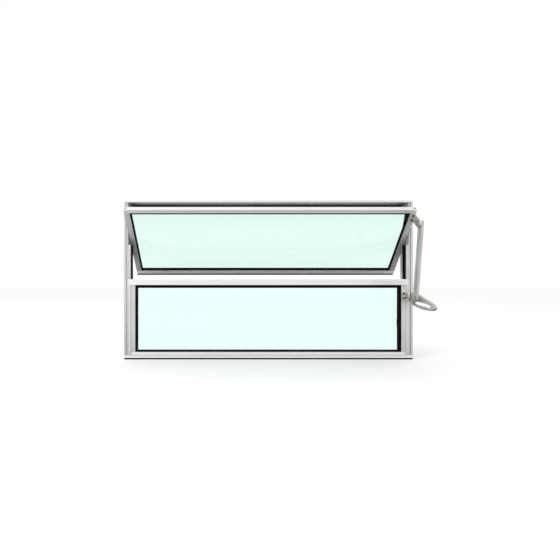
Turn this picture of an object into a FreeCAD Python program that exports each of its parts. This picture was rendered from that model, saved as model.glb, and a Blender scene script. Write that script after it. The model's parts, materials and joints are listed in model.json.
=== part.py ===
"""Tilting vent window: an outer frame with a fixed lower light and a pivoted upper sash.

Millimetres, +Z up, X along the window, Y from the room side towards the outside.
The pieces are drawn from the frame's room-side face, and saved about the middle of the
frame's depth, so the origin is the middle of the sill's seat. The sash stands open, which
is the rest position: its upper half leans into the room.
"""
import FreeCAD, Part
import math
import os

Vec = FreeCAD.Vector
X_AXIS = Vec(1, 0, 0)
Y_AXIS = Vec(0, 1, 0)

# ---- outer frame ----
frame_width = 600.0
frame_height = 330.0
frame_depth = 36.0
wall = 1.5                    # wall of the hollow profiles
jamb_width = 8.5
head_height = 4.0
base_seal_height = 3.0
sill_height = 6.0
transom_top = 162.0
transom_height = 7.5
face_groove_offset = 4.2      # from the jamb's outer edge
face_groove_width = 2.5
face_groove_depth = 2.5

# ---- stops and weather seals of the vent opening ----
stop_reach = 5.5              # how far a stop stands into the opening
inner_stop_depth = 11.0
outer_stop_depth = 5.0
seal_lip = 0.8                # how far a seal stands past its stop
seal_gap = 0.3                # between a seal and the closed sash
stop_end_gap = 6.0            # between a stop's end and the pivot axis
transom_lip = 4.5

# ---- fixed lower light ----
bead_width = 9.0
bead_height = 6.0
bead_setback = 1.5            # bead face behind the frame's face
bead_depth = 7.5
bead_wall = 2.0
gasket_face = 3.0
top_gasket_face = 5.6
gasket_setback = 3.0
glass_thickness = 4.0
glass_front = 12.0
rear_gasket_depth = 3.0
rear_stop_depth = 5.0
setting_block_height = 2.0
setting_block_length = 40.0
setting_block_place = 170.0
glass_edge_cover = 7.0

# ---- tilting sash, given closed ----
side_clearance = 1.2          # sash to jamb
sash_swing_clearance = 0.6    # sash corner to transom and head
sash_thickness = 12.0
sash_setback = 15.0           # sash face behind the frame's face
stile_width = 10.6
top_rail_height = 8.0
bottom_rail_height = 7.5
strip_height = 3.7
strip_depth = 3.5
sash_glass_thickness = 3.0
sash_gasket_face = 4.0        # top and bottom
sash_gasket_side = 3.0
sash_gasket_setback = 2.5
face_line_start = 1.4         # fine line along the top rail's face, above its lower edge
face_line_width = 0.8
face_line_depth = 0.5
glazing_groove_depth = 5.0
glazing_clearance = 0.4
open_angle = 39.2             # sash tilt at rest

# ---- sash pivots ----
pin_radius = 3.0
pin_running_fit = 0.1
bush_radius = 5.0
bush_flange_radius = 7.0
bush_flange = 0.7
pin_seat_depth = 5.5          # how far a pin goes into its stile
pin_end_gap = 0.5             # pin end to jamb wall

# ---- lever, link rod and their brackets ----
plate = 2.5                   # bracket plate
base_plate_length = 17.0
base_plate_width = 7.4
bracket_screw_pitch = 10.0
ear_radius = 8.0
lever_ear_inset = 5.5         # lever bracket's ear from the bead's edge
lever_pivot_reach = 9.5       # pivot in front of the frame's face
lever_pivot_drop = 23.0       # pivot below the transom
lever_thickness = 6.0
washer_thickness = 1.0
washer_rim = 2.4              # washer past the pin
fitting_gap = 0.3             # between parts that turn on one pin
stack_gap = 0.1               # between parts that stay still on one pin
crank_radius = 36.0
crank_angle = -5.0            # below the forward direction, at rest
shoulder_rim = 2.0            # crank rivet's shoulder past its pin
rod_width = 12.7
rod_thickness = 4.5
rod_inset = 1.8               # rod's foot from the bead's edge
rod_lean_run = 12.0           # how far the rod leans outwards over its length
rod_ear_run = 3.5             # from the sash bracket's ear to the rod's head
rod_ear_drop = 9.2            # ear hole below the top rail, sash closed
rod_ear_standoff = 29.8       # ear hole in front of the sash's middle plane
open_pivot_play = 1.9         # radial play where the linkage is opened
rivet_radius = 3.0
top_pin_radius = 2.5
rivet_head_radius = 4.6
rivet_head_height = 1.8
top_head_radius = 6.2
lever_eye_clearance = 0.1
edge_round = 1.2

# ---- screws ----
screw_radius = 1.5
screw_head_radius = 2.3
screw_head_height = 1.3
screw_slot = 0.7
bracket_screw_length = 6.0
fixing_hole_radius = 2.5
fixing_hole_y = 5.5
lower_fixing_height = 60.0
upper_fixing_drop = 36.0      # upper hole below the head
fixing_pocket = 6.0           # room in the glazing bead for the lower screw's head
corner_screw_depth = 22.0
corner_screw_inset = 9.0      # from the frame's two faces
sash_screw_depth = 24.0
sash_screw_inset = 3.2        # from the sash's side

# ---- places worked out from the sizes above ----
half_width = frame_width / 2
opening_half = half_width - jamb_width
stop_edge = opening_half - stop_reach
bead_edge = stop_edge - bead_width
head_soffit = frame_height - head_height
sill_top = base_seal_height + sill_height
bead_top = sill_top + bead_height
transom_bottom = transom_top - transom_height
pivot_z = (transom_top + head_soffit) / 2
pivot_y = sash_setback + sash_thickness / 2
sash_back = sash_setback + sash_thickness
sash_half_width = opening_half - side_clearance
swing_radius = (head_soffit - transom_top) / 2 - sash_swing_clearance
sash_half_height = math.sqrt(swing_radius ** 2 - (sash_thickness / 2) ** 2)
sash_top = pivot_z + sash_half_height
sash_bottom = pivot_z - sash_half_height
stile_edge = sash_half_width - stile_width
inner_seal_end = sash_setback - seal_gap
outer_seal_start = sash_back + seal_gap
outer_stop_start = frame_depth - outer_stop_depth
glass_back = glass_front + glass_thickness
rear_stop_start = glass_back + rear_gasket_depth
rail_foot = sash_top - top_rail_height
glazing_y0 = pivot_y - sash_glass_thickness / 2 - glazing_clearance
glazing_y1 = pivot_y + sash_glass_thickness / 2 + glazing_clearance
fixing_heights = (lower_fixing_height, head_soffit - upper_fixing_drop)
corner_screw_ys = (corner_screw_inset, frame_depth - corner_screw_inset)
corner_screw_z = transom_bottom + transom_height / 2
lever_ear_x = bead_edge + lever_ear_inset
lever_plate_x = lever_ear_x + plate + stack_gap + washer_thickness + fitting_gap
rod_bottom_x = bead_edge + rod_inset
rod_top_x = rod_bottom_x + rod_lean_run
rod_ear_x = rod_top_x - rod_ear_run
lever_pivot = Vec(0, -lever_pivot_reach, transom_bottom - lever_pivot_drop)
crank_turn = math.radians(crank_angle)
crank_pin = lever_pivot + Vec(0, -crank_radius * math.cos(crank_turn), crank_radius * math.sin(crank_turn))
ear_hole_closed = Vec(0, pivot_y - rod_ear_standoff, rail_foot - rod_ear_drop)
ear_hole_radius = top_pin_radius + open_pivot_play


# ---- building helpers ----
def box(x0, x1, y0, y1, z0, z1):
    return Part.makeBox(x1 - x0, y1 - y0, z1 - z0, Vec(x0, y0, z0))


def rod_along_x(radius, x0, x1, y, z):
    return Part.makeCylinder(radius, x1 - x0, Vec(x0, y, z), X_AXIS)


def mirrored(shape):
    return shape.mirror(Vec(0, 0, 0), X_AXIS)


def side_box(side, near, far, y0, y1, z0, z1):
    """A box between two distances from the middle, on the left (-1) or the right (1)."""
    x0, x1 = sorted((side * near, side * far))
    return box(x0, x1, y0, y1, z0, z1)


def ring(half_x, z0, z1, side_face, foot_face, top_face, y0, y1):
    """A rectangular ring that lies inside the given outline."""
    outer = box(-half_x, half_x, y0, y1, z0, z1)
    inner = box(-half_x + side_face, half_x - side_face, y0 - 1, y1 + 1, z0 + foot_face, z1 - top_face)
    return outer.cut(inner)


def hollow_rail(half_x, z0, z1):
    """A hollow profile along X as deep as the frame, open at its ends."""
    solid = box(-half_x, half_x, 0, frame_depth, z0, z1)
    return solid.cut(box(-half_x - 1, half_x + 1, wall, frame_depth - wall, z0 + wall, z1 - wall))


def screw_along_y(x, y_face, z, length):
    """A pan-head screw whose head sits on a face that looks to the room."""
    head_start = Vec(x, y_face - screw_head_height, z)
    head = Part.makeCylinder(screw_head_radius, screw_head_height, head_start, Y_AXIS)
    rim = [edge for edge in head.Edges if edge.BoundBox.YMax < y_face - screw_head_height / 2]
    head = head.makeFillet(screw_head_height * 0.45, rim)
    slot = box(x - screw_head_radius, x + screw_head_radius, y_face - screw_head_height - 1,
               y_face - screw_head_height * 0.55, z - screw_slot / 2, z + screw_slot / 2)
    shank = Part.makeCylinder(screw_radius, length, Vec(x, y_face, z), Y_AXIS)
    return head.cut(slot).fuse(shank)


def opened(shape):
    """Turn a piece of the closed sash to its open rest position."""
    turned = shape.copy()
    turned.rotate(Vec(0, pivot_y, pivot_z), X_AXIS, open_angle)
    return turned


def open_point(point):
    angle = math.radians(open_angle)
    dy, dz = point.y - pivot_y, point.z - pivot_z
    return Vec(point.x, pivot_y + dy * math.cos(angle) - dz * math.sin(angle),
               pivot_z + dy * math.sin(angle) + dz * math.cos(angle))


def group(shapes):
    return Part.makeCompound(shapes)


def save(name, shape):
    placed = shape.copy()
    placed.translate(Vec(0, -frame_depth / 2, 0))
    placed.exportStep("parts/" + name + ".step")


# ---- outer frame ----
def make_sill():
    return hollow_rail(half_width, base_seal_height, sill_top)


def make_base_seal():
    return box(-half_width, half_width, wall, frame_depth - wall, 0, base_seal_height)


def make_head():
    return box(-half_width, half_width, 0, frame_depth, head_soffit, frame_height)


def make_head_stop():
    return box(-opening_half, opening_half, outer_stop_start, frame_depth,
               head_soffit - stop_reach, head_soffit)


def make_jamb(side):
    """A hollow upright with a groove down its room-side face, a pivot bore and wall-screw holes."""
    x0, x1 = sorted((side * opening_half, side * half_width))
    jamb = box(x0, x1, 0, frame_depth, sill_top, head_soffit)
    core = box(x0 + wall, x1 - wall, face_groove_depth + wall, frame_depth - wall,
               sill_top - 1, head_soffit + 1)
    groove_near = half_width - face_groove_offset - face_groove_width
    groove = side_box(side, groove_near, groove_near + face_groove_width, -1, face_groove_depth,
                      sill_top, head_soffit)
    pivot_bore = rod_along_x(bush_radius, x0 - 1, x1 + 1, pivot_y, pivot_z)
    holes = [rod_along_x(fixing_hole_radius, x0 - 1, x1 + 1, fixing_hole_y, height)
             for height in fixing_heights]
    return jamb.cut([core, groove, pivot_bore] + holes)


def make_transom():
    return hollow_rail(opening_half, transom_bottom, transom_top)


def make_transom_stop():
    return box(-opening_half, opening_half, 0, inner_stop_depth, transom_top, transom_top + transom_lip)


def make_inner_stop(side):
    return side_box(side, stop_edge, opening_half, 0, inner_stop_depth,
                    transom_top + transom_lip, pivot_z - stop_end_gap)


def make_outer_stop(side):
    return side_box(side, stop_edge, opening_half, outer_stop_start, frame_depth,
                    pivot_z + stop_end_gap, head_soffit - stop_reach)


# ---- weather seals of the vent opening ----
def make_inner_jamb_seal(side):
    z0, z1 = transom_top + transom_lip, pivot_z - stop_end_gap
    web = side_box(side, stop_edge - seal_lip, opening_half - wall, inner_stop_depth, inner_seal_end, z0, z1)
    lip = side_box(side, stop_edge - seal_lip, stop_edge, wall, inner_stop_depth, z0, z1)
    return web.fuse(lip).removeSplitter()


def make_outer_jamb_seal(side):
    return side_box(side, stop_edge - seal_lip, opening_half - wall, outer_seal_start, outer_stop_start,
                    pivot_z + stop_end_gap, head_soffit - stop_reach)


def make_head_seal():
    return box(-opening_half + wall, opening_half - wall, outer_seal_start, outer_stop_start,
               head_soffit - stop_reach, head_soffit)


def make_transom_seal():
    return box(-opening_half + wall, opening_half - wall, inner_stop_depth, inner_seal_end,
               transom_top, transom_top + transom_lip)


# ---- fixed lower light ----
def make_side_bead(side):
    """A stop flush with the jamb's face, stepped back to the glazing bead."""
    stop = side_box(side, stop_edge, opening_half, 0, bead_setback + bead_depth, sill_top, transom_bottom)
    bead = side_box(side, bead_edge, stop_edge, bead_setback, bead_setback + bead_depth,
                    bead_top, transom_bottom)
    pocket = side_box(side, bead_edge + bead_wall, opening_half + 1, fixing_hole_y - fixing_pocket / 2,
                      fixing_hole_y + fixing_pocket / 2, fixing_heights[0] - fixing_pocket / 2,
                      fixing_heights[0] + fixing_pocket / 2)
    return stop.fuse(bead).removeSplitter().cut(pocket)


def make_bottom_bead():
    return box(-stop_edge, stop_edge, bead_setback, bead_setback + bead_depth, sill_top, bead_top)


def make_side_rear_stop(side):
    return side_box(side, bead_edge, opening_half, rear_stop_start, rear_stop_start + rear_stop_depth,
                    bead_top, transom_bottom - top_gasket_face)


def make_rear_stop(z0, z1):
    return box(-opening_half, opening_half, rear_stop_start, rear_stop_start + rear_stop_depth, z0, z1)


def make_lower_glass():
    return box(-bead_edge - glass_edge_cover, bead_edge + glass_edge_cover, glass_front, glass_back,
               sill_top + setting_block_height, transom_bottom - 1)


def make_front_gasket():
    return ring(bead_edge, bead_top, transom_bottom, gasket_face, gasket_face, top_gasket_face,
                gasket_setback, glass_front)


def make_rear_gasket():
    return ring(bead_edge, bead_top, transom_bottom - 1, gasket_face, gasket_face, top_gasket_face,
                glass_back, rear_stop_start)


def make_setting_blocks():
    blocks = []
    for place in (-setting_block_place, setting_block_place):
        blocks.append(box(place - setting_block_length / 2, place + setting_block_length / 2,
                          glass_front, glass_back, sill_top, sill_top + setting_block_height))
    return group(blocks)


# ---- frame fasteners and pivot bushes ----
def corner_screw(side, y, z, depth):
    """A countersunk screw driven through a jamb's outer face into a rail."""
    head = Part.makeCone(screw_head_radius, screw_radius, screw_head_height, Vec(0, 0, 0), Vec(-1, 0, 0))
    shank = Part.makeCylinder(screw_radius, depth, Vec(0, 0, 0), Vec(-1, 0, 0))
    screw = head.fuse(shank)
    screw.translate(Vec(half_width, y, z))
    return screw if side > 0 else mirrored(screw)


def corner_screws():
    screws = []
    for side in (-1, 1):
        for y in corner_screw_ys:
            screws.append(corner_screw(side, y, corner_screw_z, corner_screw_depth))
    return screws


def make_pivot_bush(side):
    body = rod_along_x(bush_radius, opening_half, half_width - wall, pivot_y, pivot_z)
    flange = rod_along_x(bush_flange_radius, opening_half - bush_flange, opening_half, pivot_y, pivot_z)
    bore = rod_along_x(pin_radius + pin_running_fit, opening_half - bush_flange - 1, half_width - 2 * wall,
                       pivot_y, pivot_z)
    bush = body.fuse(flange).cut(bore)
    return bush if side > 0 else mirrored(bush)


# ---- tilting sash, modelled closed ----
def make_stile(side):
    stile = side_box(side, stile_edge, sash_half_width, sash_setback, sash_back,
                     sash_bottom + strip_height + bottom_rail_height, rail_foot)
    groove = side_box(side, stile_edge - 1, stile_edge + glazing_groove_depth, glazing_y0, glazing_y1,
                      sash_bottom, sash_top)
    seat = rod_along_x(pin_radius, sash_half_width - pin_seat_depth, sash_half_width + 1, pivot_y, pivot_z)
    stile = stile.cut(groove)
    return stile.cut(seat if side > 0 else mirrored(seat))


def make_top_rail():
    rail = box(-sash_half_width, sash_half_width, sash_setback, sash_back, rail_foot, sash_top)
    groove = box(-stile_edge - glazing_groove_depth, stile_edge + glazing_groove_depth, glazing_y0, glazing_y1,
                 rail_foot - 1, rail_foot + glazing_groove_depth)
    line_foot = rail_foot + face_line_start
    line = box(-sash_half_width - 1, sash_half_width + 1, sash_setback - 1, sash_setback + face_line_depth,
               line_foot, line_foot + face_line_width)
    return rail.cut(groove.fuse(line))


def make_bottom_rail():
    z0 = sash_bottom + strip_height
    z1 = z0 + bottom_rail_height
    rail = box(-sash_half_width, sash_half_width, sash_setback, sash_back, z0, z1)
    drip = box(-sash_half_width, sash_half_width, sash_setback + strip_depth, sash_back, sash_bottom, z0)
    groove = box(-stile_edge - glazing_groove_depth, stile_edge + glazing_groove_depth, glazing_y0, glazing_y1,
                 z1 - glazing_groove_depth, z1 + 1)
    return rail.fuse(drip).removeSplitter().cut(groove)


def make_weather_strip():
    return box(-sash_half_width, sash_half_width, sash_setback, sash_setback + strip_depth,
               sash_bottom, sash_bottom + strip_height)


def make_sash_glass():
    edge = stile_edge + glazing_groove_depth - glazing_clearance
    return box(-edge, edge, pivot_y - sash_glass_thickness / 2, pivot_y + sash_glass_thickness / 2,
               sash_bottom + strip_height + bottom_rail_height - glazing_groove_depth + glazing_clearance,
               rail_foot + glazing_groove_depth - glazing_clearance)


def make_sash_gasket(y0, y1):
    return ring(stile_edge, sash_bottom + strip_height + bottom_rail_height, rail_foot,
                sash_gasket_side, sash_gasket_face, sash_gasket_face, y0, y1)


def sash_corner_screws():
    """Screws through the rails into the ends of the stiles."""
    screws = []
    for side in (-1, 1):
        for z, direction in ((sash_top, -1), (sash_bottom, 1)):
            seat = Vec(side * (sash_half_width - sash_screw_inset), pivot_y, z)
            inwards = Vec(0, 0, direction)
            head = Part.makeCone(screw_head_radius, screw_radius, screw_head_height, seat, inwards)
            screws.append(head.fuse(Part.makeCylinder(screw_radius, sash_screw_depth, seat, inwards)))
    return screws


def make_pivot_pin(side):
    pin = rod_along_x(pin_radius, sash_half_width - pin_seat_depth, half_width - 2 * wall - pin_end_gap,
                      pivot_y, pivot_z)
    return pin if side > 0 else mirrored(pin)


# ---- brackets ----
def bracket_holes(x, y_face, z):
    holes = []
    for offset in (-bracket_screw_pitch / 2, bracket_screw_pitch / 2):
        holes.append((x, y_face, z + offset))
    return holes


def l_bracket(ear_x, base_face, hole, hole_radius):
    """A base plate on a room-side face, with an ear that stands out to the given hole."""
    z0, z1 = hole.z - base_plate_length / 2, hole.z + base_plate_length / 2
    base = box(ear_x + plate - base_plate_width, ear_x + plate, base_face - plate, base_face, z0, z1)
    root = box(ear_x, ear_x + plate, hole.y, base_face, hole.z - ear_radius, hole.z + ear_radius)
    eye = rod_along_x(ear_radius, ear_x, ear_x + plate, hole.y, hole.z)
    bore = rod_along_x(hole_radius, ear_x - 1, ear_x + plate + 1, hole.y, hole.z)
    return base.fuse([root, eye]).removeSplitter().cut(bore)


def bracket_screw_x(ear_x):
    return ear_x - (base_plate_width - plate) / 2


def bracket_screws(ear_x, base_face, hole, length):
    screws = []
    for x, y, z in bracket_holes(bracket_screw_x(ear_x), base_face - plate, hole.z):
        screws.append(screw_along_y(x, y, z, length))
    return screws


# ---- lever ----
def closed_outline(points, x):
    curve = Part.BSplineCurve()
    curve.interpolate([Vec(x, -forward, height) for forward, height in points], PeriodicFlag=True)
    return Part.Face(Part.Wire([curve.toShape()]))


def make_lever():
    """A flat cast lever: an eye round the pivot, then a long finger loop that droops forward."""
    pf, pz = lever_pivot_reach, lever_pivot.z
    outline = [(pf - 7.6, pz - 1), (pf - 3, pz + 6.2), (pf + 8, pz + 7.4), (pf + 24, pz + 5.4),
               (pf + 36, pz + 2.9), (pf + 47, pz - 1.2), (pf + 60, pz - 5), (pf + 72, pz - 8.8),
               (pf + 82, pz - 13), (pf + 87.5, pz - 18), (pf + 83, pz - 22.6), (pf + 70, pz - 24.4),
               (pf + 55, pz - 24.4), (pf + 38, pz - 22.4), (pf + 20, pz - 18.8), (pf + 5, pz - 13.6),
               (pf - 4.5, pz - 7.5)]
    loop_hole = [(pf + 15, pz - 12.2), (pf + 19, pz - 10.2), (pf + 34, pz - 10), (pf + 54, pz - 11.8),
                 (pf + 68, pz - 14), (pf + 74.5, pz - 16.6), (pf + 71, pz - 18.8), (pf + 54, pz - 18.6),
                 (pf + 36, pz - 17.2), (pf + 20, pz - 14.8)]
    body = closed_outline(outline, lever_plate_x).extrude(Vec(lever_thickness, 0, 0))
    body = body.cut(closed_outline(loop_hole, lever_plate_x - 1).extrude(Vec(lever_thickness + 2, 0, 0)))
    rims = [edge for edge in body.Edges if edge.BoundBox.XLength < 0.01]
    body = body.makeFillet(edge_round, rims)
    for centre in (lever_pivot, crank_pin):
        body = body.cut(rod_along_x(rivet_radius + lever_eye_clearance, lever_plate_x - 1,
                                    lever_plate_x + lever_thickness + 1, centre.y, centre.z))
    return body


def make_lever_washer():
    start = lever_ear_x + plate + stack_gap
    end = start + washer_thickness
    tube = rod_along_x(rivet_radius + washer_rim, start, end, lever_pivot.y, lever_pivot.z)
    return tube.cut(rod_along_x(rivet_radius, start - 1, end + 1, lever_pivot.y, lever_pivot.z))


def headed_pin(radius, head_radius, head_height, grip_x0, grip_x1, centre):
    """A pin along X with a round head at each end of its grip."""
    pin = rod_along_x(radius, grip_x0, grip_x1, centre.y, centre.z)
    left = rod_along_x(head_radius, grip_x0 - head_height, grip_x0, centre.y, centre.z)
    left_rim = [edge for edge in left.Edges if edge.BoundBox.XMax < grip_x0 - head_height / 2]
    left = left.makeFillet(head_height * 0.6, left_rim)
    right = rod_along_x(head_radius, grip_x1, grip_x1 + head_height, centre.y, centre.z)
    right_rim = [edge for edge in right.Edges if edge.BoundBox.XMin > grip_x1 + head_height / 2]
    right = right.makeFillet(head_height * 0.6, right_rim)
    return pin.fuse([left, right]).removeSplitter()


def make_lever_pivot_pin():
    return headed_pin(rivet_radius, rivet_head_radius, rivet_head_height, lever_ear_x,
                      lever_plate_x + lever_thickness + fitting_gap, lever_pivot)


def make_crank_rivet():
    """The rod turns on it; the gaps at the rod's faces leave room for the rod's lean."""
    lean_room = fitting_gap + rod_lean(rivet_head_radius)
    grip_start = rod_bottom_x - lean_room
    rivet = headed_pin(rivet_radius, rivet_head_radius, rivet_head_height, grip_start,
                       lever_plate_x + lever_thickness, crank_pin)
    shoulder_start = rod_bottom_x + rod_thickness + lean_room
    shoulder = rod_along_x(rivet_radius + shoulder_rim, shoulder_start, lever_plate_x, crank_pin.y, crank_pin.z)
    return rivet.fuse(shoulder).removeSplitter()


# ---- link rod ----
def rod_lean(reach):
    """How far the leaning rod moves along X over a reach along its length."""
    run = open_point(ear_hole_closed) - crank_pin
    return reach * rod_lean_run / math.hypot(run.y, run.z)


def make_link_rod(top):
    """A flat bar with round ends, leaning outwards from the crank pin to the sash bracket."""
    bottom = crank_pin
    run = top - bottom
    rise = math.hypot(run.y, run.z)
    length = math.hypot(rise, rod_lean_run)
    bar = box(rod_bottom_x, rod_bottom_x + rod_thickness,
              bottom.y - rod_width / 2, bottom.y + rod_width / 2, bottom.z, bottom.z + length)
    ends = [rod_along_x(rod_width / 2, rod_bottom_x, rod_bottom_x + rod_thickness, bottom.y, z)
            for z in (bottom.z, bottom.z + length)]
    bar = bar.fuse(ends).removeSplitter()
    foot = Vec(rod_bottom_x, bottom.y, bottom.z)
    bar.rotate(foot, Y_AXIS, math.degrees(math.atan2(rod_lean_run, rise)))
    bar.rotate(foot, X_AXIS, math.degrees(math.atan2(-run.y, run.z)))
    for centre, radius in ((bottom, rivet_radius + lever_eye_clearance), (top, top_pin_radius)):
        bar = bar.cut(rod_along_x(radius, rod_bottom_x - rod_width, rod_top_x + rod_width, centre.y, centre.z))
    return bar


def make_top_pin(top):
    """A headed pin fixed in the rod, which passes through the sash bracket's oversize hole."""
    head_face = rod_ear_x - fitting_gap
    pin = rod_along_x(top_pin_radius, head_face, rod_top_x + rod_thickness - stack_gap, top.y, top.z)
    head = rod_along_x(top_head_radius, head_face - rivet_head_height, head_face, top.y, top.z)
    rim = [edge for edge in head.Edges if edge.BoundBox.XMax < head_face - rivet_head_height / 2]
    head = head.makeFillet(rivet_head_height * 0.6, rim)
    return pin.fuse(head).removeSplitter()


# ---- assembly ----
def build():
    os.makedirs("parts", exist_ok=True)
    names = {-1: "left", 1: "right"}
    frame_screws = corner_screws()
    save("transom", make_transom().cut(frame_screws))
    save("sill", make_sill())
    save("sill_base_seal", make_base_seal())
    save("head", make_head())
    save("head_stop", make_head_stop())
    save("transom_stop", make_transom_stop())
    save("bottom_rear_stop", make_rear_stop(sill_top, bead_top))
    save("top_rear_stop", make_rear_stop(transom_bottom - top_gasket_face, transom_bottom))
    for side, name in names.items():
        save(name + "_jamb", make_jamb(side).cut(frame_screws))
        save(name + "_inner_stop", make_inner_stop(side))
        save(name + "_outer_stop", make_outer_stop(side))
        save(name + "_rear_stop", make_side_rear_stop(side))
    save("frame_screws", group(frame_screws))
    save("left_bead", make_side_bead(-1))
    save("inner_jamb_seals", group([make_inner_jamb_seal(side) for side in names]))
    save("outer_jamb_seals", group([make_outer_jamb_seal(side) for side in names]))
    save("head_seal", make_head_seal())
    save("transom_seal", make_transom_seal())
    save("bottom_bead", make_bottom_bead())
    save("lower_glass", make_lower_glass())
    save("lower_front_gasket", make_front_gasket())
    save("lower_rear_gasket", make_rear_gasket())
    save("setting_blocks", make_setting_blocks())
    save("pivot_bushes", group([make_pivot_bush(side) for side in names]))

    sash_screws = sash_corner_screws()
    rod_screws = bracket_screws(rod_ear_x, sash_setback, ear_hole_closed, bracket_screw_length)
    save("sash_top_rail", opened(make_top_rail().cut(sash_screws)))
    save("sash_bottom_rail", opened(make_bottom_rail().cut(sash_screws)))
    for side, name in names.items():
        save("sash_" + name + "_stile", opened(make_stile(side).cut(sash_screws + rod_screws)))
    save("sash_screws", opened(group(sash_screws)))
    save("sash_glass", opened(make_sash_glass()))
    gasket_start = sash_setback + sash_gasket_setback
    gasket_end = sash_back - sash_gasket_setback
    save("sash_room_gasket", opened(make_sash_gasket(gasket_start, pivot_y - sash_glass_thickness / 2)))
    save("sash_outer_gasket", opened(make_sash_gasket(pivot_y + sash_glass_thickness / 2, gasket_end)))
    save("sash_weather_strip", opened(make_weather_strip()))
    save("pivot_pins", opened(group([make_pivot_pin(side) for side in names])))
    rod_bracket = l_bracket(rod_ear_x, sash_setback, ear_hole_closed, ear_hole_radius)
    save("rod_bracket", opened(rod_bracket.cut(rod_screws)))
    save("rod_bracket_screws", opened(group(rod_screws)))

    lever_screws = bracket_screws(lever_ear_x, bead_setback, lever_pivot, bracket_screw_length)
    lever_bracket = l_bracket(lever_ear_x, bead_setback, lever_pivot, rivet_radius)
    save("lever_bracket", lever_bracket.cut(lever_screws))
    save("lever_bracket_screws", group(lever_screws))
    save("right_bead", make_side_bead(1).cut(lever_screws))
    save("lever_pivot_pin", make_lever_pivot_pin())
    save("lever_washer", make_lever_washer())
    save("lever", make_lever())
    save("crank_rivet", make_crank_rivet())
    rod_top = open_point(ear_hole_closed)
    save("link_rod", make_link_rod(rod_top))
    save("rod_top_pin", make_top_pin(rod_top))


build()
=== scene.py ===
"""Finished look of a tilting vent window: aluminium profiles, glazing, seals, lever and link rod."""

import json
import math

import bpy
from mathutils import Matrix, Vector


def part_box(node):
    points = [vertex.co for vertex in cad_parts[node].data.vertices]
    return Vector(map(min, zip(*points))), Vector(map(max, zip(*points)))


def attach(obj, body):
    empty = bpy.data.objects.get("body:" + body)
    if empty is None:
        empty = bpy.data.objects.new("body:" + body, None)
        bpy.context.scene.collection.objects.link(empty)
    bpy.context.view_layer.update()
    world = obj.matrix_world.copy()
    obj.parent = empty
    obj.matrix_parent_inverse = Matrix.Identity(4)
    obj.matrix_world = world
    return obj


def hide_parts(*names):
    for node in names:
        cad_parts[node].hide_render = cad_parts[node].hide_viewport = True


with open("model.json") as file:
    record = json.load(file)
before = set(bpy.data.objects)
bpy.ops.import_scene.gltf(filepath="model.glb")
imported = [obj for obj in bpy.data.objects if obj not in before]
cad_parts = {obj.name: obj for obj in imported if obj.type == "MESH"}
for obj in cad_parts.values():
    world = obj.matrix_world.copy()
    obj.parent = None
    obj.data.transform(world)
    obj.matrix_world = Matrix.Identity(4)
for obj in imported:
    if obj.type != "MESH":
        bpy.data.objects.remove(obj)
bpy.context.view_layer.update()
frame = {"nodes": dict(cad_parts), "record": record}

bl_info = {
    "name": "Tilting Vent Window",
    "version": (1, 0, 0),
    "blender": (4, 5, 0),
    "location": "View3D > Sidebar > Vent Window",
    "description": "Builds the finished surfaces of a pivoted vent window round its designed frame",
    "category": "Object",
}

MM = 0.001
X, Y, Z = 0, 1, 2
JOINTS = {joint["name"]: joint for joint in frame["record"]["behaviour"]["joints"]}
TILT = JOINTS["sash_tilt"]
SASH_PIVOT = Vector(TILT["pos_m"])
OPEN_ANGLE = -math.radians(TILT["range_deg"][0])
SIDES = ((-1, "left"), (1, "right"))
PAST = 1.0  # a notch limit this far beyond a face leaves the notch open on that side
RIB_DEPTH = 0.5 * MM
RIB_HALF_WIDTH = 0.3 * MM
RIB_ROUND = 0.25 * MM
PIVOT_BORE = 5.0 * MM
BORE_REACH = 8 * MM
GASKET_CUTS = 26
GLASS_PLAY = 0.4 * MM
PANE_EDGE = 0.4 * MM
HEAD_GROOVE = 0.95 * MM
TURNED_EDGE = 0.12 * MM
# Shares of painted shade on faces that look down, for the profiles and for the fittings.
PROFILE_UNDERSIDE_SHADE = 0.62
CAST_UNDERSIDE_SHADE = 0.86


# ---------------------------------------------------------------- sizes and colours

class ProfileLook(bpy.types.PropertyGroup):
    edge: bpy.props.FloatProperty(
        name="Edge Round", description="Radius on the long edges of the profiles",
        default=0.35 * MM, min=0.0, unit="LENGTH")
    wall: bpy.props.FloatProperty(
        name="Wall", description="Wall of the hollow profiles", default=1.5 * MM, unit="LENGTH")
    groove_offset: bpy.props.FloatProperty(
        name="Groove Place", description="Distance of the jamb's groove from its outer edge",
        default=4.2 * MM, unit="LENGTH")
    groove_width: bpy.props.FloatProperty(
        name="Groove Width", description="Width of the groove down the jamb's face",
        default=2.5 * MM, unit="LENGTH")
    groove_depth: bpy.props.FloatProperty(
        name="Groove Depth", description="Depth of the groove down the jamb's face",
        default=2.5 * MM, unit="LENGTH")
    line_width: bpy.props.FloatProperty(
        name="Line Width", description="Width of the fine lines drawn along a profile's face",
        default=0.7 * MM, unit="LENGTH")
    line_depth: bpy.props.FloatProperty(
        name="Line Depth", description="Depth of the fine lines along a profile's face",
        default=0.35 * MM, unit="LENGTH")
    anodised: bpy.props.FloatVectorProperty(
        name="Anodised", description="Colour of the natural anodised aluminium",
        default=(0.56, 0.56, 0.55), size=3, subtype="COLOR", min=0.0, max=1.0)
    cast: bpy.props.FloatVectorProperty(
        name="Fittings", description="Colour of the lever, link rod and brackets",
        default=(0.50, 0.475, 0.465), size=3, subtype="COLOR", min=0.0, max=1.0)


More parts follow.
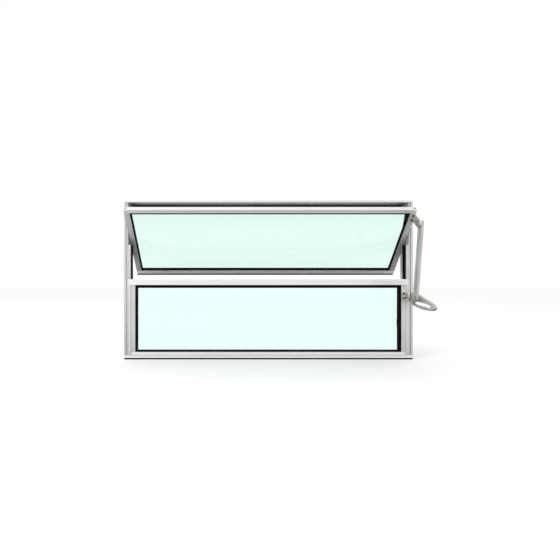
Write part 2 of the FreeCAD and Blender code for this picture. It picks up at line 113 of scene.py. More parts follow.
class GlazingLook(bpy.types.PropertyGroup):
    tint: bpy.props.FloatVectorProperty(
        name="Glass Tint", description="Colour that the panes give to what is seen through them",
        default=(0.80, 0.985, 0.94), size=3, subtype="COLOR", min=0.0, max=1.0)
    seal: bpy.props.FloatVectorProperty(
        name="Rubber", description="Colour of the gaskets and weather seals",
        default=(0.003, 0.003, 0.003), size=3, subtype="COLOR", min=0.0, max=1.0)
    seal_edge: bpy.props.FloatProperty(
        name="Seal Round", description="Radius on the edges of the rubber seals",
        default=0.7 * MM, min=0.0, unit="LENGTH")
    wave: bpy.props.FloatProperty(
        name="Seal Wave", description="How far the hand-fitted room-side gasket wanders",
        default=0.7 * MM, min=0.0, unit="LENGTH")


class StageLook(bpy.types.PropertyGroup):
    eye: bpy.props.FloatVectorProperty(
        name="Eye", description="Where the camera stands",
        default=(-76.3 * MM, -720.6 * MM, 155.9 * MM), size=3, subtype="TRANSLATION")
    lens: bpy.props.FloatProperty(
        name="Lens", description="Focal length of the camera in millimetres", default=21.76)
    shift_x: bpy.props.FloatProperty(
        name="Shift X", description="Sideways lens shift that keeps the frame square", default=0.0863)
    shift_y: bpy.props.FloatProperty(
        name="Shift Y", description="Upward lens shift that keeps the frame square", default=0.0077)
    floor: bpy.props.FloatVectorProperty(
        name="Floor", description="Colour of the floor", default=(0.96, 0.96, 0.96),
        size=3, subtype="COLOR", min=0.0, max=1.0)


# ---------------------------------------------------------------- materials

def new_material(name):
    """A material with its shader and the piece's own coordinates, ready for its pattern."""
    material = bpy.data.materials.new(name)
    material.use_nodes = True
    nodes, links = material.node_tree.nodes, material.node_tree.links
    shader = nodes["Principled BSDF"]
    place = nodes.new("ShaderNodeTexCoord")
    return material, nodes, links, shader, place


def noise(nodes, links, source, scale, detail=4.0, stretch=(1, 1, 1), turn=0.0):
    """A noise pattern in metres, stretched along the axes and turned about X."""
    mapping = nodes.new("ShaderNodeMapping")
    mapping.inputs["Scale"].default_value = stretch
    mapping.inputs["Rotation"].default_value = (turn, 0, 0)
    pattern = nodes.new("ShaderNodeTexNoise")
    pattern.inputs["Scale"].default_value = scale
    pattern.inputs["Detail"].default_value = detail
    links.new(source, mapping.inputs["Vector"])
    links.new(mapping.outputs["Vector"], pattern.inputs["Vector"])
    return pattern.outputs["Fac"]


def spread(nodes, links, value, low, high):
    """Spread the middle of a noise pattern between two values."""
    ranged = nodes.new("ShaderNodeMapRange")
    ranged.inputs["From Min"].default_value = 0.3
    ranged.inputs["From Max"].default_value = 0.7
    ranged.inputs["To Min"].default_value = low
    ranged.inputs["To Max"].default_value = high
    links.new(value, ranged.inputs["Value"])
    return ranged.outputs["Result"]


def tone(nodes, links, value, dark, light):
    """A colour between a dark and a light shade of one tone."""
    ramp = nodes.new("ShaderNodeValToRGB")
    ramp.color_ramp.elements[0].position = 0.3
    ramp.color_ramp.elements[0].color = (*dark, 1)
    ramp.color_ramp.elements[1].position = 0.7
    ramp.color_ramp.elements[1].color = (*light, 1)
    links.new(value, ramp.inputs["Fac"])
    return ramp.outputs["Color"]


def paint_underside_shade(nodes, links, place, colours, share):
    """Paint shade onto what faces down, darkening its colour by a share."""
    facing = nodes.new("ShaderNodeSeparateXYZ")
    links.new(place.outputs["Normal"], facing.inputs["Vector"])
    ranged = nodes.new("ShaderNodeMapRange")
    ranged.inputs["From Min"].default_value = -1.0
    ranged.inputs["From Max"].default_value = 0.0
    ranged.inputs["To Min"].default_value = 1.0 - share
    ranged.inputs["To Max"].default_value = 1.0
    links.new(facing.outputs["Z"], ranged.inputs["Value"])
    scaled = nodes.new("ShaderNodeVectorMath")
    scaled.operation = "SCALE"
    links.new(colours, scaled.inputs[0])
    links.new(ranged.outputs["Result"], scaled.inputs["Scale"])
    return scaled.outputs["Vector"]


def bump(nodes, links, shader, height, strength, distance):
    """Let a pattern raise the shader's surface a little."""
    relief = nodes.new("ShaderNodeBump")
    relief.inputs["Strength"].default_value = strength
    relief.inputs["Distance"].default_value = distance
    links.new(height, relief.inputs["Height"])
    links.new(relief.outputs["Normal"], shader.inputs["Normal"])


def shaded(colour, factor):
    """A colour made lighter or darker by a factor, kept within white."""
    return tuple(min(1.0, part * factor) for part in colour)


def anodised(name, colour, along, turn=0.0):
    """Satin anodised aluminium with drawing lines along the profile and soft handling marks."""
    material, nodes, links, shader, place = new_material(name)
    stretch = [1.0, 1.0, 1.0]
    stretch[along] = 0.012
    lines = noise(nodes, links, place.outputs["Object"], 900, 3, stretch, turn)
    marks = noise(nodes, links, place.outputs["Object"], 14, 5)
    mixed = nodes.new("ShaderNodeMath")
    mixed.operation = "MULTIPLY_ADD"
    mixed.inputs[1].default_value = 0.55
    scaled = nodes.new("ShaderNodeMath")
    scaled.operation = "MULTIPLY"
    scaled.inputs[1].default_value = 0.45
    links.new(marks, scaled.inputs[0])
    links.new(lines, mixed.inputs[0])
    links.new(scaled.outputs["Value"], mixed.inputs[2])
    colours = tone(nodes, links, mixed.outputs["Value"], shaded(colour, 0.93), shaded(colour, 1.05))
    # Faces that look down get painted shade in their base colour.
    links.new(paint_underside_shade(nodes, links, place, colours, PROFILE_UNDERSIDE_SHADE), shader.inputs["Base Color"])
    links.new(spread(nodes, links, marks, 0.36, 0.50), shader.inputs["Roughness"])
    shader.inputs["Metallic"].default_value = 0.55
    bump(nodes, links, shader, lines, 0.16, 0.00012)
    return material


def cast_metal(name, colour):
    """Tumbled die-cast aluminium: fine grain, worn smooth in patches."""
    material, nodes, links, shader, place = new_material(name)
    grain = noise(nodes, links, place.outputs["Object"], 1500, 3)
    worn = noise(nodes, links, place.outputs["Object"], 55, 4)
    colours = tone(nodes, links, worn, shaded(colour, 0.90), shaded(colour, 1.08))
    # Faces that look down get painted shade in their base colour.
    links.new(paint_underside_shade(nodes, links, place, colours, CAST_UNDERSIDE_SHADE), shader.inputs["Base Color"])
    links.new(spread(nodes, links, worn, 0.30, 0.48), shader.inputs["Roughness"])
    shader.inputs["Metallic"].default_value = 0.6
    bump(nodes, links, shader, grain, 0.25, 0.0001)
    return material


def zinc_steel(name, dark, light):
    """Zinc-plated steel with a faint mottled passivation."""
    material, nodes, links, shader, place = new_material(name)
    mottle = noise(nodes, links, place.outputs["Object"], 420, 5)
    links.new(tone(nodes, links, mottle, dark, light), shader.inputs["Base Color"])
    links.new(spread(nodes, links, mottle, 0.28, 0.46), shader.inputs["Roughness"])
    shader.inputs["Metallic"].default_value = 0.9
    bump(nodes, links, shader, mottle, 0.12, 0.0001)
    return material


def rubber(name, colour):
    """Black extruded rubber with a dusty bloom and a fine skin."""
    material, nodes, links, shader, place = new_material(name)
    bloom = noise(nodes, links, place.outputs["Object"], 60, 5)
    skin = noise(nodes, links, place.outputs["Object"], 1800, 2)
    links.new(tone(nodes, links, bloom, colour, shaded(colour, 1.9)), shader.inputs["Base Color"])
    links.new(spread(nodes, links, bloom, 0.55, 0.78), shader.inputs["Roughness"])
    shader.inputs["Specular IOR Level"].default_value = 0.04
    bump(nodes, links, shader, skin, 0.2, 0.0001)
    return material


def nylon(name):
    """Moulded black nylon with a fine sparkle finish."""
    material, nodes, links, shader, place = new_material(name)
    sparkle = noise(nodes, links, place.outputs["Object"], 1300, 2)
    colours = tone(nodes, links, sparkle, (0.02, 0.02, 0.02), (0.05, 0.05, 0.05))
    links.new(colours, shader.inputs["Base Color"])
    links.new(spread(nodes, links, sparkle, 0.38, 0.55), shader.inputs["Roughness"])
    shader.inputs["Specular IOR Level"].default_value = 0.25
    bump(nodes, links, shader, sparkle, 0.2, 0.0001)
    return material


def glass(name, tint):
    """Float glass with a faint green cast and a trace of wiping marks."""
    material, nodes, links, shader, place = new_material(name)
    wipes = noise(nodes, links, place.outputs["Object"], 6, 4, (1, 1, 3))
    colours = tone(nodes, links, wipes, shaded(tint, 0.99), shaded(tint, 1.01))
    links.new(colours, shader.inputs["Base Color"])
    links.new(spread(nodes, links, wipes, 0.0, 0.035), shader.inputs["Roughness"])
    shader.inputs["Transmission Weight"].default_value = 1.0
    shader.inputs["IOR"].default_value = 1.45
    return material


def plaster_floor(name, colour):
    """Pale matt floor with a barely visible cloudiness."""
    material, nodes, links, shader, place = new_material(name)
    cloud = noise(nodes, links, place.outputs["Object"], 3, 3)
    colours = tone(nodes, links, cloud, shaded(colour, 0.995), colour)
    links.new(colours, shader.inputs["Base Color"])
    shader.inputs["Roughness"].default_value = 0.85
    return material


def finish_of(name):
    """The finish of a given name, made the first time it is asked for."""
    found = bpy.data.materials.get(name)
    if found:
        return found
    profiles, glazing = bpy.context.scene.window_profiles, bpy.context.scene.window_glazing
    makers = {
        # The across and upright finishes are the sash's anodising lightened by 1.46 and 1.10: painted light,
        # lit copies of one material.
        "anodised_across_painted_light": lambda: anodised(name, shaded(profiles.anodised, 1.46), X),
        "anodised_upright_painted_light": lambda: anodised(name, shaded(profiles.anodised, 1.10), Z),
        "anodised_sash": lambda: anodised(name, profiles.anodised, Z, -OPEN_ANGLE),
        "cast_fittings": lambda: cast_metal(name, profiles.cast),
        "bright_brackets": lambda: cast_metal(name, shaded(profiles.cast, 1.6)),
        "dark_screws": lambda: zinc_steel(name, (0.05, 0.05, 0.05), (0.12, 0.12, 0.115)),
        "zinc_pins": lambda: zinc_steel(name, (0.30, 0.30, 0.29), (0.44, 0.44, 0.42)),
        "black_rubber": lambda: rubber(name, glazing.seal),
        "black_nylon": lambda: nylon(name),
        "pane_glass": lambda: glass(name, glazing.tint),
    }
    return makers[name]()


# ---------------------------------------------------------------- modelling helpers

def deselect():
    if bpy.context.mode != "OBJECT":
        bpy.ops.object.mode_set(mode="OBJECT")
    bpy.ops.object.select_all(action="DESELECT")


def make_active(piece):
    deselect()
    piece.select_set(True)
    bpy.context.view_layer.objects.active = piece


def apply_modifiers(piece):
    make_active(piece)
    for modifier in list(piece.modifiers):
        bpy.ops.object.modifier_apply(modifier=modifier.name)


def node_points(node):
    """The points of a designed node's mesh."""
    return [vertex.co for vertex in frame["nodes"][node].data.vertices]


def shut_point(point):
    """Where a point of the open sash lies when the sash is shut."""
    cosine, sine = math.cos(OPEN_ANGLE), math.sin(OPEN_ANGLE)
    arm = point - SASH_PIVOT
    return SASH_PIVOT + Vector((arm.x, arm.y * cosine + arm.z * sine, arm.z * cosine - arm.y * sine))


def closed_box(node):
    """The lowest and highest corner of a sash node when the sash is shut."""
    points = [shut_point(point) for point in node_points(node)]
    return Vector(map(min, *points)), Vector(map(max, *points))


def open_sash_piece(piece):
    """Swing a piece drawn on the shut sash out to its open rest position."""
    make_active(piece)
    bpy.ops.transform.rotate(value=-OPEN_ANGLE, orient_axis="X", center_override=SASH_PIVOT)
    bpy.ops.object.transform_apply(location=True, rotation=True, scale=True)
    return piece


def settle(piece, node, body, material):
    """Hand a finished piece to its body, in place of its designed node."""
    piece.data.materials.clear()
    piece.data.materials.append(finish_of(material))
    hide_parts(node)
    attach(piece, body)
    deselect()
    return piece


def round_edges(piece, width, segments=2, angle=30):
    """Round the sharp edges of a piece and smooth what is left."""
    bevel = piece.modifiers.new("Edges", "BEVEL")
    bevel.width = width
    bevel.segments = segments
    bevel.limit_method = "ANGLE"
    bevel.angle_limit = math.radians(angle)
    bevel.harden_normals = False
    apply_modifiers(piece)
    make_active(piece)
    bpy.ops.object.shade_smooth_by_angle(angle=math.radians(35))


def select_faces(piece, test):
    """Leave exactly the faces that pass a test selected, in edit mode."""
    bpy.ops.object.mode_set(mode="OBJECT")
    for group in (piece.data.vertices, piece.data.edges):
        for part in group:
            part.select = False
    for face in piece.data.polygons:
        face.select = test(face)
    bpy.ops.object.mode_set(mode="EDIT")
    bpy.ops.mesh.select_mode(type="FACE")


def cut_across(axis, value):
    """Divide the whole mesh being edited by a plane across one axis."""
    normal, point = [0, 0, 0], [0, 0, 0]
    normal[axis], point[axis] = 1, value
    bpy.ops.mesh.select_all(action="SELECT")
    bpy.ops.mesh.bisect(plane_co=point, plane_no=normal)


def extruded_profile(name, low, high, along, notches=()):
    """Draw a section as a flat face, cut its notches out, and extrude it along its length.

    A notch is four limits: two on the first axis across the profile and two on the second.
    """
    across = [axis for axis in (X, Y, Z) if axis != along]
    centre = (low + high) / 2
    centre[along] = low[along]
    size = high - low
    turns = {X: (0, math.pi / 2, 0), Y: (math.pi / 2, 0, 0), Z: (0, 0, 0)}
    scales = {X: (size.z, size.y, 1), Y: (size.x, size.z, 1), Z: (size.x, size.y, 1)}
    deselect()
    bpy.ops.mesh.primitive_plane_add(size=1, location=centre, rotation=turns[along])
    piece = bpy.context.active_object
    piece.name = name
    piece.scale = scales[along]
    bpy.ops.object.transform_apply(location=True, rotation=True, scale=True)
    bpy.ops.object.mode_set(mode="EDIT")
    for notch in notches:
        for axis, values in ((across[0], notch[:2]), (across[1], notch[2:])):
            for value in values:
                if low[axis] < value < high[axis]:
                    cut_across(axis, value)
    if notches:
        def in_notch(face):
            first, second = face.center[across[0]], face.center[across[1]]
            return any(n[0] < first < n[1] and n[2] < second < n[3] for n in notches)
        select_faces(piece, in_notch)
        bpy.ops.mesh.delete(type="FACE")
    run = [0, 0, 0]
    run[along] = size[along]
    bpy.ops.mesh.select_all(action="SELECT")
    bpy.ops.mesh.extrude_region_move(TRANSFORM_OT_translate={"value": run})
    bpy.ops.mesh.select_all(action="SELECT")
    bpy.ops.mesh.remove_doubles(threshold=0.001 * MM)
    bpy.ops.mesh.normals_make_consistent(inside=False)
    bpy.ops.object.mode_set(mode="OBJECT")
    return piece


def subtract(piece, cutter):
    """Take a cutter's shape away from a piece, then the cutter itself."""
    difference = piece.modifiers.new("Cut", "BOOLEAN")
    difference.operation = "DIFFERENCE"
    difference.solver = "EXACT"
    difference.object = cutter
    apply_modifiers(piece)
    bpy.data.objects.remove(cutter)


def bore(piece, centre, radius, half_length):
    """Cut a round bore along X through a piece."""
    deselect()
    bpy.ops.mesh.primitive_cylinder_add(vertices=40, radius=radius, depth=2 * half_length,
                                        location=centre, rotation=(0, math.pi / 2, 0))
    subtract(piece, bpy.context.active_object)


def cut_box(piece, low, high):
    """Cut a box out of a piece."""
    size = [top - foot for foot, top in zip(low, high)]
    centre = [(top + foot) / 2 for foot, top in zip(low, high)]
    deselect()
    bpy.ops.mesh.primitive_cube_add(size=1, location=centre)
    cutter = bpy.context.active_object
    cutter.scale = size
    bpy.ops.object.transform_apply(location=True, rotation=True, scale=True)
    subtract(piece, cutter)


def merged_copy(name, node):
    """A copy of a designed node with its loose triangles joined into clean faces."""
    deselect()
    piece = bpy.data.objects.new(name, frame["nodes"][node].data.copy())
    bpy.context.scene.collection.objects.link(piece)
    make_active(piece)
    bpy.ops.object.mode_set(mode="EDIT")
    bpy.ops.mesh.select_all(action="SELECT")
    bpy.ops.mesh.remove_doubles(threshold=0.002 * MM)
    bpy.ops.mesh.dissolve_limited(angle_limit=math.radians(1.0))
    bpy.ops.object.mode_set(mode="OBJECT")
    return piece


def softened_copy(name, node, width, segments=2):
    """A merged copy of a designed node with its sharp edges rounded."""
    piece = merged_copy(name, node)
    round_edges(piece, width, segments, 40)
    return piece


def middle_of(box, axis):
    """The middle of a box along one axis."""
    return (box[0][axis] + box[1][axis]) / 2


def face_line(box, axis, share, look):
    """A fine line along a room-side face, at a share of the way across it."""
    low, high = box
    place = low[axis] + share * (high[axis] - low[axis])
    across = (place - look.line_width / 2, place + look.line_width / 2)
    depth = (low.y - PAST, low.y + look.line_depth)
    return across + depth if axis == X else depth + across


def rib_lines(box, shares):
    """Grooves that leave ribs along a seal's room-side face, at shares of its height."""
    low, high = box
    places = [low.z + share * (high.z - low.z) for share in shares]
    return [(low.y - PAST, low.y + RIB_DEPTH, place - RIB_HALF_WIDTH, place + RIB_HALF_WIDTH)
            for place in places]


def chamber(box, axis, wall):
    """The hollow inside a profile, as a notch."""
    low, high = box
    across = (low[axis] + wall, high[axis] - wall)
    depth = (low.y + wall, high.y - wall)
    return across + depth if axis == X else depth + across


# ---------------------------------------------------------------- outer frame

class VENT_OT_frame_profiles(bpy.types.Operator):
    """Model the sill, head, transom and jambs as hollow drawn profiles"""
    bl_idname = "vent.frame_profiles"
    bl_label = "Frame Profiles"

    def execute(self, context):
        look = context.scene.window_profiles
        for node, shares in (("sill", (0.74,)), ("transom", (0.30, 0.74))):
            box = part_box(node)
            notches = [chamber(box, Z, look.wall)]
            notches += [face_line(box, Z, share, look) for share in shares]
            piece = extruded_profile(node + "_profile", box[0], box[1], X, notches)
            round_edges(piece, look.edge)
            settle(piece, node, "frame", "anodised_across_painted_light")
        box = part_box("head")
        piece = extruded_profile("head_profile", box[0], box[1], X, [face_line(box, Z, 0.5, look)])
        round_edges(piece, look.edge)
        settle(piece, "head", "frame", "anodised_across_painted_light")
        for side, name in SIDES:
            self.build_jamb(side, name, look)
        return {"FINISHED"}

    def build_jamb(self, side, name, look):
        node = name + "_jamb"
        box = low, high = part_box(node)
        outer = high.x if side > 0 else low.x
        groove = sorted((outer - side * look.groove_offset,
                         outer - side * (look.groove_offset + look.groove_width)))
        core = (low.x + look.wall, high.x - look.wall,
                low.y + look.groove_depth + look.wall, high.y - look.wall)
        notches = [core, (*groove, low.y - PAST, low.y + look.groove_depth)]
        piece = extruded_profile(node + "_profile", low, high, Z, notches)
        round_edges(piece, look.edge)
        pivot = Vector((middle_of(box, X), SASH_PIVOT.y, SASH_PIVOT.z))
        bore(piece, pivot, PIVOT_BORE, BORE_REACH)
        screws = next(m for m in frame["record"]["mounts"] if m["name"] == name + "_wall_screws")
        half_pitch = screws["dims"]["spacing_y_mm"] * MM / 2
        for offset in (-half_pitch, half_pitch):
            hole = Vector((middle_of(box, X), screws["pos_m"][1], screws["pos_m"][2] + offset))
            bore(piece, hole, screws["dims"]["hole_r_mm"] * MM, BORE_REACH)
        settle(piece, node, "frame", "anodised_upright_painted_light")


class VENT_OT_stops_and_beads(bpy.types.Operator):
    """Model the stops of the vent opening and the beads that hold the lower pane"""
    bl_idname = "vent.stops_and_beads"
    bl_label = "Stops and Beads"

    def execute(self, context):
        look = context.scene.window_profiles
        runs = (("head_stop", X), ("transom_stop", X), ("bottom_rear_stop", X), ("top_rear_stop", X),
                ("left_inner_stop", Z), ("right_inner_stop", Z), ("left_outer_stop", Z),
                ("right_outer_stop", Z), ("left_rear_stop", Z), ("right_rear_stop", Z))
        for node, along in runs:
            low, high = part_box(node)
            piece = extruded_profile(node + "_profile", low, high, along)
            round_edges(piece, look.edge)
            material = "anodised_across_painted_light" if along == X else "anodised_upright_painted_light"
            settle(piece, node, "frame", material)
        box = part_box("bottom_bead")
        piece = extruded_profile("bottom_bead_profile", box[0], box[1], X,
                                 [face_line(box, Z, share, look) for share in (0.25, 0.70)])
        round_edges(piece, look.edge)
        settle(piece, "bottom_bead", "frame", "anodised_across_painted_light")
        for side, name in SIDES:
            self.build_side_bead(side, name, look)
        return {"FINISHED"}

    def build_side_bead(self, side, name, look):
        """A stop flush with the frame's face, stepped back and down to the glazing bead."""
        node = name + "_bead"
        low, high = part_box(node)
        foot_low, foot_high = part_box("bottom_bead")
        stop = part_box(name + "_inner_stop")
        step = stop[0].x if side > 0 else stop[1].x
        bead_side = (low.x - PAST, step) if side > 0 else (step, high.x + PAST)
        bead_face = (Vector((low.x, foot_low.y, low.z)), high)
        notches = [(*bead_side, low.y - PAST, foot_low.y),
                   face_line(bead_face, X, 0.30 if side > 0 else 0.70, look)]
        piece = extruded_profile(node + "_profile", low, high, Z, notches)
        cut_box(piece, (bead_side[0], low.y - PAST, low.z - PAST),
                (bead_side[1], high.y + PAST, foot_high.z))
        round_edges(piece, look.edge)
        settle(piece, node, "frame", "anodised_upright_painted_light")


class VENT_OT_frame_seals(bpy.types.Operator):
    """Model the rubber gaskets and weather seals of the fixed frame, and the black strip under the sill that
    stands for its shadow line
    """
    bl_idname = "vent.frame_seals"
    bl_label = "Frame Seals"

    def execute(self, context):
        look = context.scene.window_glazing
        # The sill_base_seal strip is black rubber put where the sill's shadow line falls: painted shadow.
        for node in ("head_seal", "transom_seal", "sill_base_seal"):
            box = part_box(node)
            piece = extruded_profile(node + "_strip", box[0], box[1], X, rib_lines(box, (0.35, 0.65)))
            round_edges(piece, RIB_ROUND)
            settle(piece, node, "frame", "black_rubber")
        for node in ("inner_jamb_seals", "outer_jamb_seals"):
            piece = softened_copy(node + "_strip", node, 0.5 * MM)
            settle(piece, node, "frame", "black_rubber")
        for node in ("lower_front_gasket", "lower_rear_gasket"):
            wave = look.wave if node == "lower_front_gasket" else 0.0
            piece = gasket_ring(node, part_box(node), look, wave)
            settle(piece, node, "frame", "black_rubber")
        return {"FINISHED"}


def ring_faces(node):
    """How wide a gasket ring is at its sides, foot and top, read from its designed node."""
    points = node_points(node)
    if node.startswith("sash"):
        points = [shut_point(point) for point in points]
    xs = sorted({round(p.x, 5) for p in points})
    zs = sorted({round(p.z, 5) for p in points})
    return xs[1], xs[-2], zs[1], zs[-2]


def gasket_ring(node, box, look, wave):
    """A mitred rubber ring round a pane, its inner lip a little uneven where it was fitted by hand."""
    low, high = box
    x0, x1, z0, z1 = ring_faces(node)
    piece = extruded_profile(node + "_ring", low, high, Y, [(x0, x1, z0, z1)])
    if wave:
        make_active(piece)
        bpy.ops.object.mode_set(mode="EDIT")
        for step in range(1, GASKET_CUTS):
            cut_across(Z, z0 + (z1 - z0) * step / GASKET_CUTS)
            cut_across(X, x0 + (x1 - x0) * step / GASKET_CUTS)
        bpy.ops.object.mode_set(mode="OBJECT")
        near = 0.05 * MM
        # The right lip bows well into the pane; the other three only waver.
        for vertex in piece.data.vertices:
            point = vertex.co
            if abs(point.x - x1) < near and z0 < point.z < z1:
                share = (point.z - z0) / (z1 - z0)
                point.x -= wave * (3.2 * math.sin(math.pi * share) ** 1.5 + 0.5 * math.sin(point.z * 190))
            elif abs(point.x - x0) < near and z0 < point.z < z1:
                point.x += wave * 0.35 * math.sin(point.z * 120)
            elif abs(point.z - z1) < near and x0 < point.x < x1:
                point.z += wave * 0.5 * math.sin(point.x * 21 + 2)
            elif abs(point.z - z0) < near and x0 < point.x < x1:
                point.z += wave * 0.4 * math.sin(point.x * 16)
    round_edges(piece, look.seal_edge, 3, 40)
    return piece


# ---------------------------------------------------------------- panes

class VENT_OT_panes(bpy.types.Operator):
    """Model the two panes with ground edges, and their setting blocks"""
    bl_idname = "vent.panes"
    bl_label = "Panes"

    def execute(self, context):
        low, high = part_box("lower_glass")
        pane = extruded_profile("lower_pane", low, high, Y)
        round_edges(pane, PANE_EDGE)
        settle(pane, "lower_glass", "frame", "pane_glass")
        low, high = closed_box("sash_glass")
        pane = extruded_profile("sash_pane", low, high, Y)
        round_edges(pane, PANE_EDGE)
        open_sash_piece(pane)
        settle(pane, "sash_glass", "sash", "pane_glass")
        blocks = softened_copy("setting_block_pair", "setting_blocks", 0.3 * MM)
        settle(blocks, "setting_blocks", "frame", "black_nylon")
        return {"FINISHED"}


# ---------------------------------------------------------------- sash

class VENT_OT_sash_profiles(bpy.types.Operator):
    """Model the rails and stiles of the tilting sash"""
    bl_idname = "vent.sash_profiles"
    bl_label = "Sash Profiles"

    def execute(self, context):
        look = context.scene.window_profiles
        pane_low, pane_high = closed_box("sash_glass")
        slot_y = (pane_low.y - GLASS_PLAY, pane_high.y + GLASS_PLAY)
        top = closed_box("sash_top_rail")
        line_low, line_high = top[0].z + 1.4 * MM, top[0].z + 2.2 * MM
        top_notches = [(top[0].y - PAST, top[0].y + 0.5 * MM, line_low, line_high),
                       (*slot_y, top[0].z - PAST, pane_high.z)]
        self.build_rail("sash_top_rail", top, top_notches, look)
        low = closed_box("sash_bottom_rail")
        strip = closed_box("sash_weather_strip")
        above_strip = (Vector((low[0].x, low[0].y, strip[1].z)), low[1])
        low_notches = [(low[0].y - PAST, strip[1].y, low[0].z - PAST, strip[1].z),
                       (*slot_y, pane_low.z, low[1].z + PAST), face_line(above_strip, Z, 0.75, look)]
        self.build_rail("sash_bottom_rail", low, low_notches, look)
        for side, name in SIDES:
            node = "sash_" + name + "_stile"
            box = closed_box(node)
            inner = (box[0].x - PAST, pane_high.x) if side > 0 else (pane_low.x, box[1].x + PAST)
            notches = [(*inner, *slot_y), face_line(box, X, 0.28 if side > 0 else 0.72, look),
                       face_line(box, X, 0.80 if side > 0 else 0.20, look)]
            piece = extruded_profile(node + "_profile", box[0], box[1], Z, notches)
            round_edges(piece, look.edge)
            open_sash_piece(piece)
            settle(piece, node, "sash", "anodised_sash")
        return {"FINISHED"}

    def build_rail(self, node, box, notches, look):
        piece = extruded_profile(node + "_profile", box[0], box[1], X, notches)
        round_edges(piece, look.edge)
        open_sash_piece(piece)
        settle(piece, node, "sash", "anodised_across_painted_light")


class VENT_OT_sash_seals(bpy.types.Operator):
    """Model the sash's gaskets and its weather strip"""
    bl_idname = "vent.sash_seals"
    bl_label = "Sash Seals"

    def execute(self, context):
        look = context.scene.window_glazing
        for node in ("sash_room_gasket", "sash_outer_gasket"):
            piece = gasket_ring(node, closed_box(node), look, 0.0)
            open_sash_piece(piece)
            settle(piece, node, "sash", "black_rubber")
        box = closed_box("sash_weather_strip")
        piece = extruded_profile("sash_weather_strip_ribbed", box[0], box[1], X, rib_lines(box, (0.3, 0.65)))
        round_edges(piece, RIB_ROUND)
        open_sash_piece(piece)
        settle(piece, "sash_weather_strip", "sash", "black_rubber")
        return {"FINISHED"}


# ---------------------------------------------------------------- lever, link rod and fasteners

class VENT_OT_lever_gear(bpy.types.Operator):
    """Finish the lever, the link rod, their brackets and the pins that join them"""
    bl_idname = "vent.lever_gear"
    bl_label = "Lever and Link Rod"

    def execute(self, context):
        fittings = (("lever_bracket", "frame", 0.5, "bright_brackets"),
                    ("rod_bracket", "sash", 0.5, "bright_brackets"),
                    ("link_rod", "rod", 0.6, "cast_fittings"))
        for node, body, width, finish in fittings:
            piece = softened_copy(node + "_plate", node, width * MM, 3)
            settle(piece, node, body, finish)
        lever = softened_copy("lever_loop", "lever", 0.3 * MM)
        settle(lever, "lever", "lever", "cast_fittings")
        pins = (("lever_pivot_pin", "frame", 2.4), ("crank_rivet", "lever", 2.4), ("rod_top_pin", "rod", 3.8))
        for node, body, radius in pins:
            piece = merged_copy(node + "_headed", node)
            self.groove_head(piece, radius * MM)
            round_edges(piece, TURNED_EDGE, 1, 40)
            settle(piece, node, body, "zinc_pins")
        for node, body in (("lever_washer", "frame"), ("pivot_bushes", "frame")):
            piece = softened_copy(node + "_moulded", node, 0.25 * MM)
            settle(piece, node, body, "black_nylon")
        return {"FINISHED"}

    def groove_head(self, piece, radius):
        """Turn a rounded ring groove into the end of a pin's head."""
        points = [vertex.co for vertex in piece.data.vertices]
        end = min(point.x for point in points)
        rim = [point for point in points if point.x < end + 0.3 * MM]
        centre = sum(rim, Vector()) / len(rim)
        deselect()
        bpy.ops.mesh.primitive_torus_add(
            location=(end, centre.y, centre.z), rotation=(0, math.pi / 2, 0),
            major_radius=radius, minor_radius=HEAD_GROOVE, major_segments=40, minor_segments=10)
        subtract(piece, bpy.context.active_object)


class VENT_OT_fasteners(bpy.types.Operator):
    """Finish the screws and the sash's pivot pins"""
    bl_idname = "vent.fasteners"
    bl_label = "Fasteners"

    def execute(self, context):
        for node, body in (("lever_bracket_screws", "frame"), ("rod_bracket_screws", "sash"),
                           ("frame_screws", "frame"), ("sash_screws", "sash"), ("pivot_pins", "sash")):
            piece = softened_copy(node + "_turned", node, TURNED_EDGE)
            settle(piece, node, body, "dark_screws")
        return {"FINISHED"}


# ---------------------------------------------------------------- stage

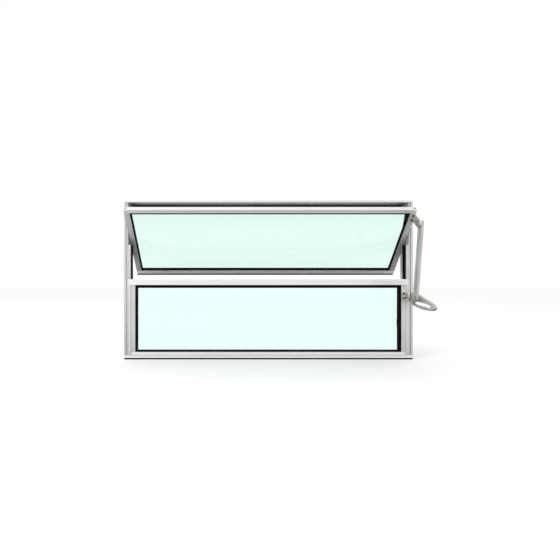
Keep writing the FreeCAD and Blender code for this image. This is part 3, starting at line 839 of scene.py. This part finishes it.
class VENT_OT_stage(bpy.types.Operator):
    """Set the floor, the studio light and the camera"""
    bl_idname = "vent.stage"
    bl_label = "Stage"

    def execute(self, context):
        look = context.scene.window_stage
        deselect()
        bpy.ops.mesh.primitive_plane_add(size=30, location=(0, 0, -0.2 * MM))
        floor = context.active_object
        floor.name = "floor"
        floor.data.materials.append(plaster_floor("pale_floor", look.floor))
        self.add_world(context)
        self.add_light("key_light", (-0.9, -1.0, 2.4), (0, 0, 0.15), 1.2, 14)
        self.add_light("fill_light", (-2.2, -1.0, 0.9), (0, 0, 0.15), 1.2, 5)
        self.add_camera(context, look)
        context.scene.view_settings.view_transform = "Standard"
        return {"FINISHED"}

    def add_world(self, context):
        world = bpy.data.worlds.new("studio")
        world.use_nodes = True
        backdrop = world.node_tree.nodes["Background"]
        backdrop.inputs["Color"].default_value = (1, 1, 1, 1)
        backdrop.inputs["Strength"].default_value = 1.0
        context.scene.world = world

    def add_light(self, name, place, aim, size, power):
        bpy.ops.object.light_add(type="AREA", location=place)
        lamp = bpy.context.active_object
        lamp.name = name
        lamp.data.size = size
        lamp.data.energy = power
        lamp.rotation_euler = (Vector(aim) - Vector(place)).to_track_quat("-Z", "Y").to_euler()

    def add_camera(self, context, look):
        bpy.ops.object.camera_add(location=look.eye, rotation=(math.pi / 2, 0, 0))
        camera = context.active_object
        camera.name = "viewpoint"
        camera.data.sensor_width = 36.0
        camera.data.lens = look.lens
        camera.data.shift_x = look.shift_x
        camera.data.shift_y = look.shift_y
        camera.data.clip_start = 0.01
        context.scene.camera = camera


# ---------------------------------------------------------------- panel and registration

STEPS = ("frame_profiles", "stops_and_beads", "frame_seals", "panes", "sash_profiles", "sash_seals",
         "lever_gear", "fasteners", "stage")


class VENT_PT_panel(bpy.types.Panel):
    """Lists the window's sizes, colours and building steps"""
    bl_idname = "VENT_PT_panel"
    bl_label = "Vent Window"
    bl_space_type = "VIEW_3D"
    bl_region_type = "UI"
    bl_category = "Vent Window"

    def draw(self, context):
        scene = context.scene
        for group in (scene.window_profiles, scene.window_glazing, scene.window_stage):
            box = self.layout.box()
            for name in group.__annotations__:
                box.prop(group, name)
        for step in STEPS:
            self.layout.operator("vent." + step)


CLASSES = (ProfileLook, GlazingLook, StageLook, VENT_OT_frame_profiles, VENT_OT_stops_and_beads,
           VENT_OT_frame_seals, VENT_OT_panes, VENT_OT_sash_profiles, VENT_OT_sash_seals,
           VENT_OT_lever_gear, VENT_OT_fasteners, VENT_OT_stage, VENT_PT_panel)


def register():
    for cls in CLASSES:
        bpy.utils.register_class(cls)
    bpy.types.Scene.window_profiles = bpy.props.PointerProperty(type=ProfileLook)
    bpy.types.Scene.window_glazing = bpy.props.PointerProperty(type=GlazingLook)
    bpy.types.Scene.window_stage = bpy.props.PointerProperty(type=StageLook)


def unregister():
    del bpy.types.Scene.window_stage
    del bpy.types.Scene.window_glazing
    del bpy.types.Scene.window_profiles
    for cls in reversed(CLASSES):
        bpy.utils.unregister_class(cls)


def main():
    register()
    for step in STEPS:
        getattr(bpy.ops.vent, step)()


if __name__ == "__main__":
    main()
